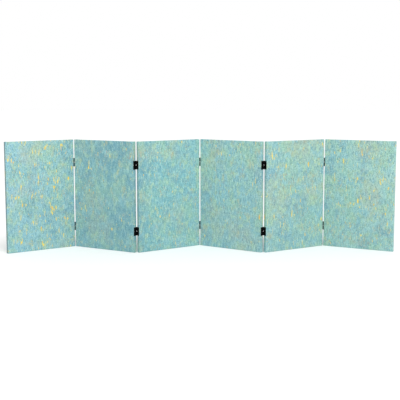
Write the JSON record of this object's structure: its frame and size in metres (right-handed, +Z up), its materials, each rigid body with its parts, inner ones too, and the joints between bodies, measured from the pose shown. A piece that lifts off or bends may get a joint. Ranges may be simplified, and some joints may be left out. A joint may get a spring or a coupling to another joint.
{
  "type": "folding screen",
  "caption": "Low folding screen of canvas panels on stretcher frames, joined edge to edge by black hinges that fold both ways, standing in a zigzag.",
  "frame": {"origin": "on the floor, under the middle of the box round the standing screen", "axes": "+X runs along the line between the two free ends, left to right for the viewer; the viewer stands at -Y; +Z is up"},
  "size_m": [2.1006, 0.2624, 0.6],
  "materials": {
    "printed_canvas": null,
    "back_canvas": null,
    "frame_wood": "planed softwood, unfinished",
    "hinge_black": "black powder-coated steel, worn a little at the knuckles",
    "screw_black": "black-coated countersunk steel screw",
    "staple_steel": "galvanised steel wire"
  },
  "bodies": {
    "panel_1": {"panel_1_stiles": "frame_wood", "panel_1_rails": "frame_wood", "panel_1_front_canvas": "printed_canvas", "panel_1_back_canvas": "back_canvas", "panel_1_staples": "staple_steel", "panel_1_screws": "screw_black", "hinge_12_left_leaves": "hinge_black"},
    "panel_2": {"panel_2_stiles": "frame_wood", "panel_2_rails": "frame_wood", "panel_2_front_canvas": "printed_canvas", "panel_2_back_canvas": "back_canvas", "panel_2_staples": "staple_steel", "panel_2_screws": "screw_black", "hinge_23_left_leaves": "hinge_black", "hinge_12_right_leaves": "hinge_black"},
    "panel_3": {"panel_3_stiles": "frame_wood", "panel_3_rails": "frame_wood", "panel_3_front_canvas": "printed_canvas", "panel_3_back_canvas": "back_canvas", "panel_3_staples": "staple_steel", "panel_3_screws": "screw_black", "hinge_34_left_leaves": "hinge_black", "hinge_23_right_leaves": "hinge_black"},
    "panel_4": {"panel_4_stiles": "frame_wood", "panel_4_rails": "frame_wood", "panel_4_front_canvas": "printed_canvas", "panel_4_back_canvas": "back_canvas", "panel_4_staples": "staple_steel", "panel_4_screws": "screw_black", "hinge_45_left_leaves": "hinge_black", "hinge_34_right_leaves": "hinge_black"},
    "panel_5": {"panel_5_stiles": "frame_wood", "panel_5_rails": "frame_wood", "panel_5_front_canvas": "printed_canvas", "panel_5_back_canvas": "back_canvas", "panel_5_staples": "staple_steel", "panel_5_screws": "screw_black", "hinge_56_left_leaves": "hinge_black", "hinge_45_right_leaves": "hinge_black"},
    "panel_6": {"panel_6_stiles": "frame_wood", "panel_6_rails": "frame_wood", "panel_6_front_canvas": "printed_canvas", "panel_6_back_canvas": "back_canvas", "panel_6_staples": "staple_steel", "panel_6_screws": "screw_black", "hinge_56_right_leaves": "hinge_black"},
    "link_12": {"hinge_12_links": "hinge_black", "hinge_12_pins": "hinge_black"},
    "link_23": {"hinge_23_links": "hinge_black", "hinge_23_pins": "hinge_black"},
    "link_34": {"hinge_34_links": "hinge_black", "hinge_34_pins": "hinge_black"},
    "link_45": {"hinge_45_links": "hinge_black", "hinge_45_pins": "hinge_black"},
    "link_56": {"hinge_56_links": "hinge_black", "hinge_56_pins": "hinge_black"}
  },
  "joints": [
    {"name": "fold_34_front", "type": "hinge", "parent": "panel_3", "child": "link_34", "pos_m": [-0.00189, 0.10968, 0.3], "axis": [0, 0, -1], "range_deg": [-70.2, 107.8]},
    {"name": "fold_34_rear", "type": "hinge", "parent": "link_34", "child": "panel_4", "pos_m": [0.01235, 0.129, 0.3], "axis": [0, 0, -1], "range_deg": [-178, 0]},
    {"name": "fold_45_front", "type": "hinge", "parent": "panel_4", "child": "link_45", "pos_m": [0.32184, -0.129, 0.3], "axis": [0, 0, 1], "range_deg": [-178, 0]},
    {"name": "fold_45_rear", "type": "hinge", "parent": "link_45", "child": "panel_5", "pos_m": [0.33608, -0.10968, 0.3], "axis": [0, 0, 1], "range_deg": [-67.4, 110.6]},
    {"name": "fold_56_front", "type": "hinge", "parent": "panel_5", "child": "link_56", "pos_m": [0.69319, 0.0769, 0.3], "axis": [0, 0, -1], "range_deg": [-61.2, 116.8]},
    {"name": "fold_56_rear", "type": "hinge", "parent": "link_56", "child": "panel_6", "pos_m": [0.70527, 0.09764, 0.3], "axis": [0, 0, -1], "range_deg": [-178, 0]},
    {"name": "fold_23_rear", "type": "hinge", "parent": "panel_3", "child": "link_23", "pos_m": [-0.34946, -0.09412, 0.3], "axis": [0, 0, -1], "range_deg": [-65.7, 112.3]},
    {"name": "fold_23_front", "type": "hinge", "parent": "link_23", "child": "panel_2", "pos_m": [-0.36214, -0.1145, 0.3], "axis": [0, 0, -1], "range_deg": [-178, 0]},
    {"name": "fold_12_rear", "type": "hinge", "parent": "panel_2", "child": "link_12", "pos_m": [-0.69092, 0.11842, 0.3], "axis": [0, 0, 1], "range_deg": [-178, 0]},
    {"name": "fold_12_front", "type": "hinge", "parent": "link_12", "child": "panel_1", "pos_m": [-0.7036, 0.09804, 0.3], "axis": [0, 0, 1], "range_deg": [-65.2, 112.8]}
  ]
}
